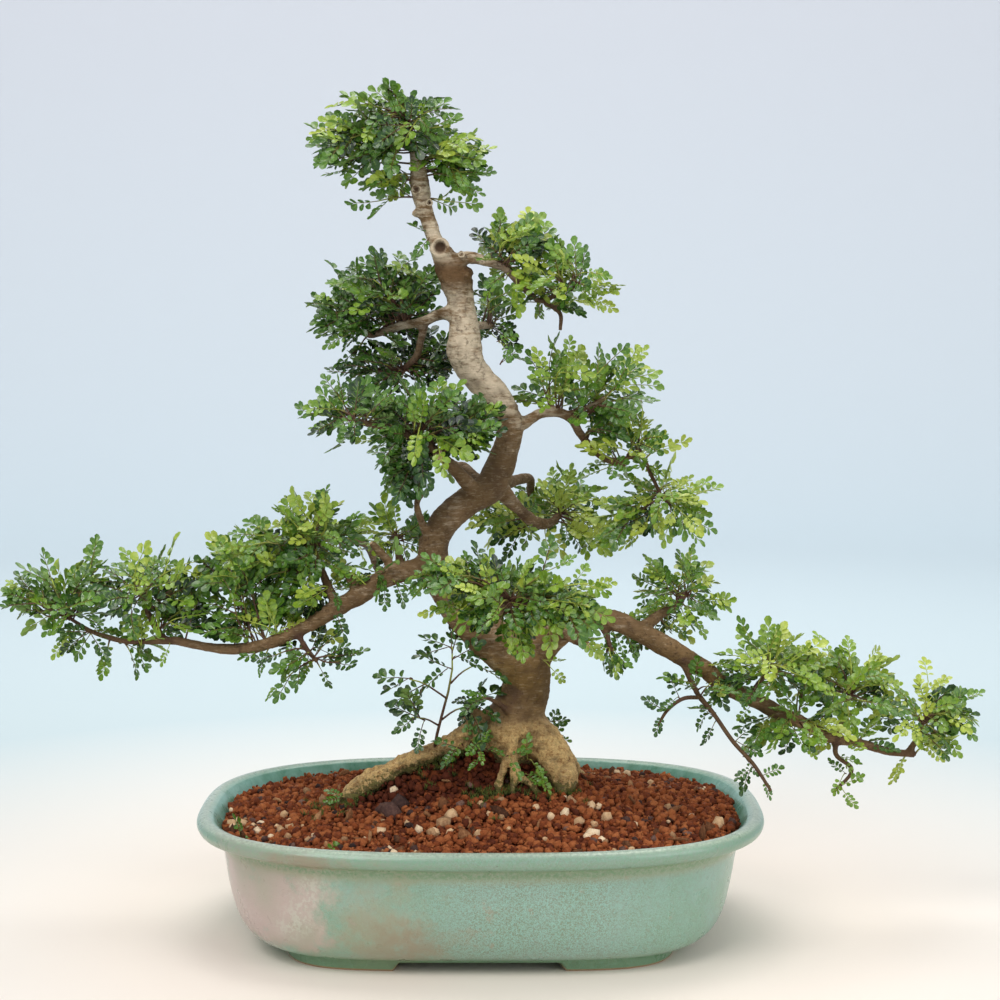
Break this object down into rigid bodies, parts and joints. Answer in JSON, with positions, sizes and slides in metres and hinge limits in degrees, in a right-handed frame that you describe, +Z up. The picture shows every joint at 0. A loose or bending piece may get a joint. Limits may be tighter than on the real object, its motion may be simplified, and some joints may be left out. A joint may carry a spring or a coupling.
{
  "type": "chinese pepper bonsai",
  "caption": "Informal upright bonsai with a curved trunk, surface roots, long low branches and pads of small winged pinnate leaves, in a shallow oval glazed pot on low feet.",
  "frame": {"origin": "on the ground, under the middle of the whole tree's box", "axes": "+Z up, +X to the right along the pot's length as seen from the front, -Y towards the front"},
  "size_m": [0.6104, 0.3266, 0.5038],
  "materials": {
    "glazed_pot": "mottled celadon glaze, glossy",
    "soil": "dry red-brown fired clay grains",
    "bark": "grey-brown bark, rough at the base and smooth above",
    "screen": "black drain mesh",
    "leaf": "glossy green leaf",
    "young_leaf": "yellow-green young leaf"
  },
  "bodies": {
    "root": {"pot": "glazed_pot", "soil": "soil", "wood": "bark", "drain_screen_1": "screen", "drain_screen_2": "screen", "foliage_crown": "leaf", "foliage_right_top": "leaf", "foliage_left_top": "leaf", "foliage_left_middle": "leaf", "foliage_back_top": "leaf", "foliage_left_front": "leaf", "foliage_right_upper": "leaf", "foliage_right_middle": "leaf", "foliage_back_right": "leaf", "foliage_back_middle": "leaf", "foliage_back_left": "leaf", "foliage_back_low": "leaf", "foliage_front": "young_leaf", "foliage_low_right": "leaf", "foliage_right_inner": "leaf", "foliage_right_outer": "leaf", "foliage_right_tip": "leaf", "foliage_left_inner": "leaf", "foliage_left_mound": "leaf", "foliage_left_back": "leaf", "foliage_left_outer": "leaf", "foliage_left_tip": "leaf", "foliage_left_hanging": "leaf", "foliage_neck_tuft": "leaf", "foliage_right_tuft": "leaf", "foliage_sprout": "leaf"}
  },
  "joints": []
}
